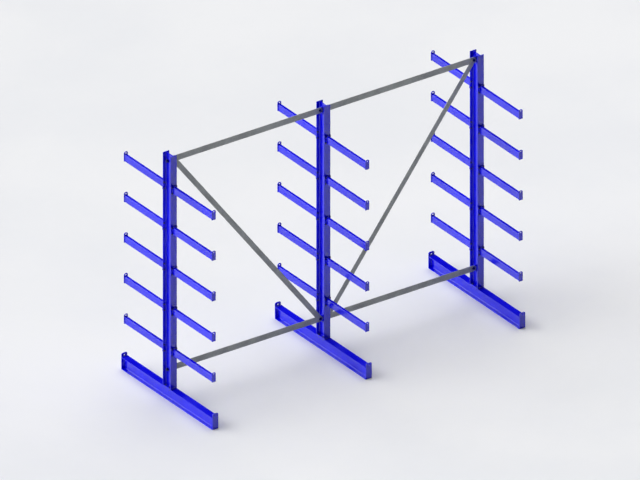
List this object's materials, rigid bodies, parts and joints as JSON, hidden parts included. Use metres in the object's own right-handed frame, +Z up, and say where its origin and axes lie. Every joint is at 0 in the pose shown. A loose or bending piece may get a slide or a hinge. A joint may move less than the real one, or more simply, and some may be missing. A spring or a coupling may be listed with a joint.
{
  "type": "cantilever rack",
  "caption": "Double-sided cantilever storage rack: I-section uprights on I-section bases, levels of stop-ended box arms on both faces, flat-bar rails and diagonals between uprights.",
  "frame": {"origin": "on the floor under the middle column, at the centre of the middle base", "axes": "+X along the rack from the left column to the right one, +Y from the front arms to the rear arms, +Z up"},
  "size_m": [4.082, 1.7, 2.96],
  "materials": {
    "blue_paint": "glossy blue stove enamel on structural steel",
    "grey_steel": "matt grey mill-finish flat bar",
    "dark_fasteners": "black-blue oxide finish on hexagon bolts, nuts and washers"
  },
  "bodies": {
    "root": {"arm_bolts": "dark_fasteners", "arm_left_front_1": "blue_paint", "arm_left_front_2": "blue_paint", "arm_left_front_3": "blue_paint", "arm_left_front_4": "blue_paint", "arm_left_front_5": "blue_paint", "arm_left_rear_1": "blue_paint", "arm_left_rear_2": "blue_paint", "arm_left_rear_3": "blue_paint", "arm_left_rear_4": "blue_paint", "arm_left_rear_5": "blue_paint", "arm_middle_front_1": "blue_paint", "arm_middle_front_2": "blue_paint", "arm_middle_front_3": "blue_paint", "arm_middle_front_4": "blue_paint", "arm_middle_front_5": "blue_paint", "arm_middle_rear_1": "blue_paint", "arm_middle_rear_2": "blue_paint", "arm_middle_rear_3": "blue_paint", "arm_middle_rear_4": "blue_paint", "arm_middle_rear_5": "blue_paint", "arm_nuts": "dark_fasteners", "arm_right_front_1": "blue_paint", "arm_right_front_2": "blue_paint", "arm_right_front_3": "blue_paint", "arm_right_front_4": "blue_paint", "arm_right_front_5": "blue_paint", "arm_right_rear_1": "blue_paint", "arm_right_rear_2": "blue_paint", "arm_right_rear_3": "blue_paint", "arm_right_rear_4": "blue_paint", "arm_right_rear_5": "blue_paint", "arm_washers": "dark_fasteners", "base_left": "blue_paint", "base_middle": "blue_paint", "base_right": "blue_paint", "base_stop_left_front": "blue_paint", "base_stop_left_rear": "blue_paint", "base_stop_middle_front": "blue_paint", "base_stop_middle_rear": "blue_paint", "base_stop_right_front": "blue_paint", "base_stop_right_rear": "blue_paint", "bottom_rail_left": "grey_steel", "bottom_rail_right": "grey_steel", "brace_cleats_left": "blue_paint", "brace_cleats_middle": "blue_paint", "brace_cleats_right": "blue_paint", "brace_fasteners": "dark_fasteners", "cleat_fasteners": "dark_fasteners", "column_left": "blue_paint", "column_middle": "blue_paint", "column_right": "blue_paint", "diagonal_left": "grey_steel", "diagonal_right": "grey_steel", "foot_fasteners": "dark_fasteners", "foot_plate_left": "blue_paint", "foot_plate_middle": "blue_paint", "foot_plate_right": "blue_paint", "top_rail_left": "grey_steel", "top_rail_right": "grey_steel"}
  },
  "joints": []
}
